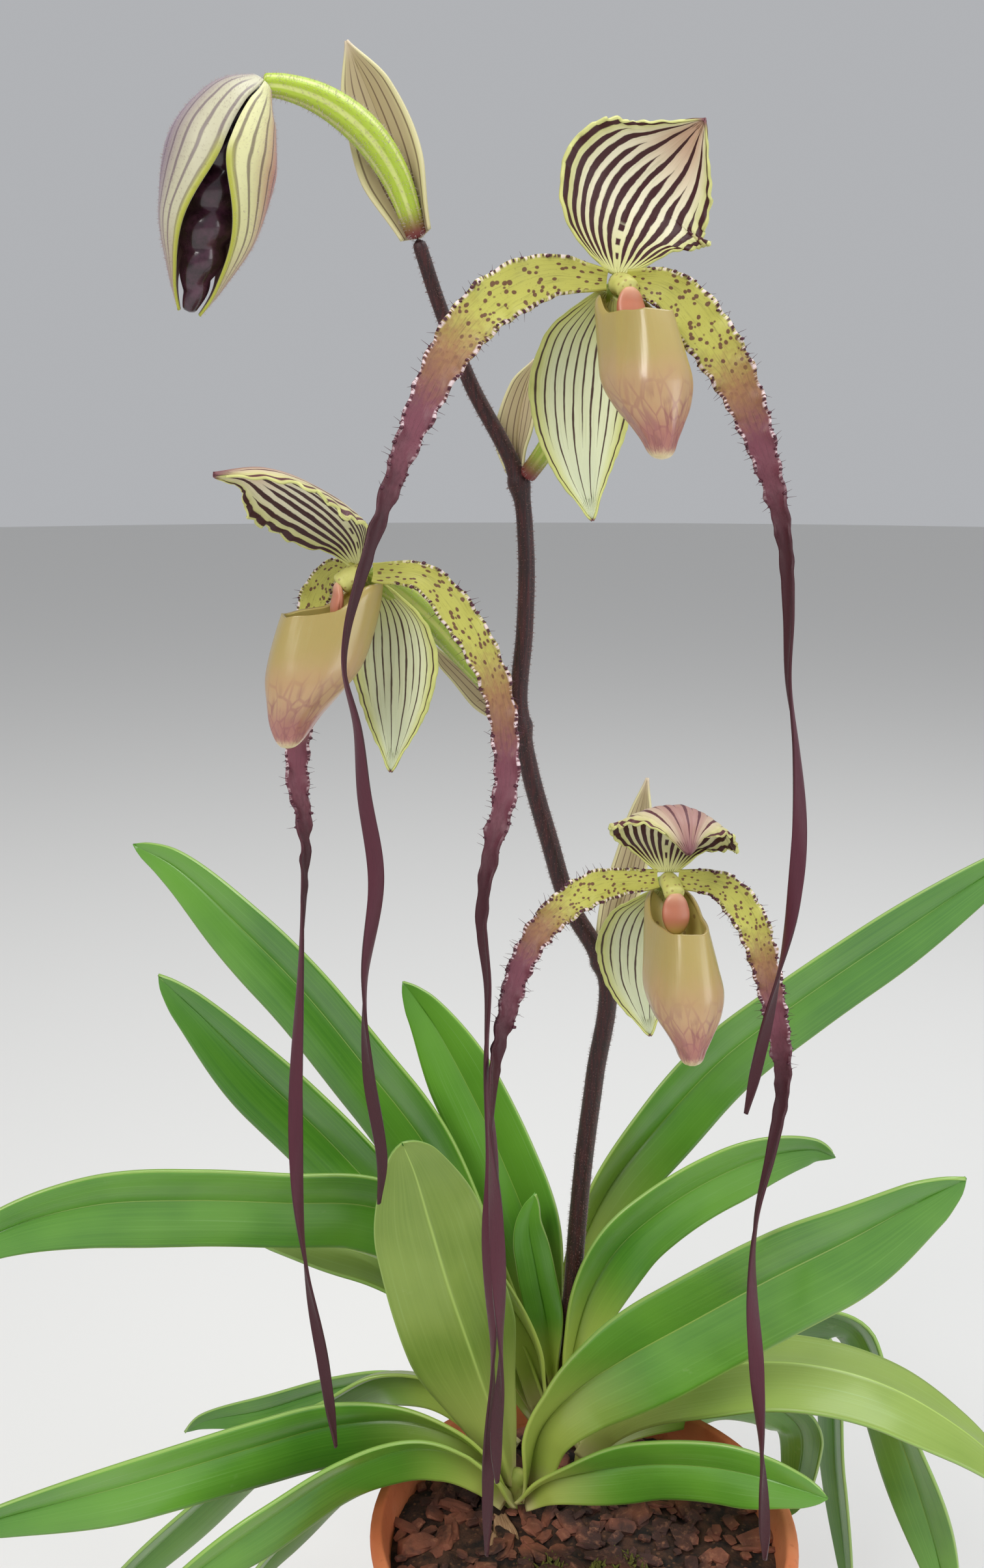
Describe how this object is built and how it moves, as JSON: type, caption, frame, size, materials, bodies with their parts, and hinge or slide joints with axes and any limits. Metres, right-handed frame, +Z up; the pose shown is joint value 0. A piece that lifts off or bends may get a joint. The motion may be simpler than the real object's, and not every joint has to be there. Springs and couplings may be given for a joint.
{
  "type": "potted slipper orchid",
  "caption": "Slipper orchid in a clay pot: strap leaves, a tall stem with open slipper flowers with long hanging petals, and a bud.",
  "frame": {"origin": "centre of the pot's flat base, on the surface that it stands on", "axes": "+Z up along the pot's axis, -Y towards the side that the flowers face, +X to the right of that view"},
  "size_m": [0.3962, 0.1957, 0.6235],
  "materials": {
    "terracotta": "matt unglazed clay",
    "bark_mix": "rough damp bark chips with moss",
    "root": "fleshy, finely felted",
    "leaf": "glossy leathery leaf",
    "stem": "dark, with short hairs",
    "sepal": "striped, waxy petal tissue",
    "petal": "petal tissue with hairs and warts",
    "pouch": "waxy, veined",
    "column": "waxy shield with hairy sides",
    "ovary": "ribbed, downy",
    "bract": "thin, veined, downy",
    "bud_sepal": "striped, downy",
    "bud_petal": "dark, shining, coiled",
    "dry_bract": "dry papery sheath"
  },
  "bodies": {
    "root": {"pot": "terracotta", "rootstock": "root", "potting_mix": "bark_mix", "dry_bract": "dry_bract", "flower_stem": "stem", "flower_top_ovary": "ovary", "flower_top_column": "column", "flower_top_pouch": "pouch", "flower_top_dorsal_sepal": "sepal", "flower_top_synsepal": "sepal", "flower_top_left_petal": "petal", "flower_top_right_petal": "petal", "flower_top_bract": "bract", "flower_left_ovary": "ovary", "flower_left_column": "column", "flower_left_pouch": "pouch", "flower_left_dorsal_sepal": "sepal", "flower_left_synsepal": "sepal", "flower_left_left_petal": "petal", "flower_left_right_petal": "petal", "flower_left_bract": "bract", "flower_bottom_ovary": "ovary", "flower_bottom_column": "column", "flower_bottom_pouch": "pouch", "flower_bottom_dorsal_sepal": "sepal", "flower_bottom_synsepal": "sepal", "flower_bottom_left_petal": "petal", "flower_bottom_right_petal": "petal", "flower_bottom_bract": "bract", "bud_ovary": "ovary", "bud_petals": "bud_petal", "bud_left_sepal": "bud_sepal", "bud_right_sepal": "bud_sepal", "bud_bract": "bract", "leaf_upper_left_long": "leaf", "leaf_upper_left_second": "leaf", "leaf_upper_left_inner": "leaf", "leaf_inner_short": "leaf", "leaf_far_left": "leaf", "leaf_far_left_lower": "leaf", "leaf_upper_right_long": "leaf", "leaf_upper_right_arched": "leaf", "leaf_middle_folded": "leaf", "leaf_right_broad": "leaf", "leaf_right_low_front": "leaf", "leaf_right_bent": "leaf", "leaf_right_hanging": "leaf", "leaf_right_pale": "leaf", "leaf_right_back_small": "leaf", "leaf_left_low": "leaf", "leaf_left_arched_back": "leaf", "leaf_left_low_front": "leaf", "leaf_left_lower_back": "leaf", "leaf_left_small_dark": "leaf"}
  },
  "joints": []
}
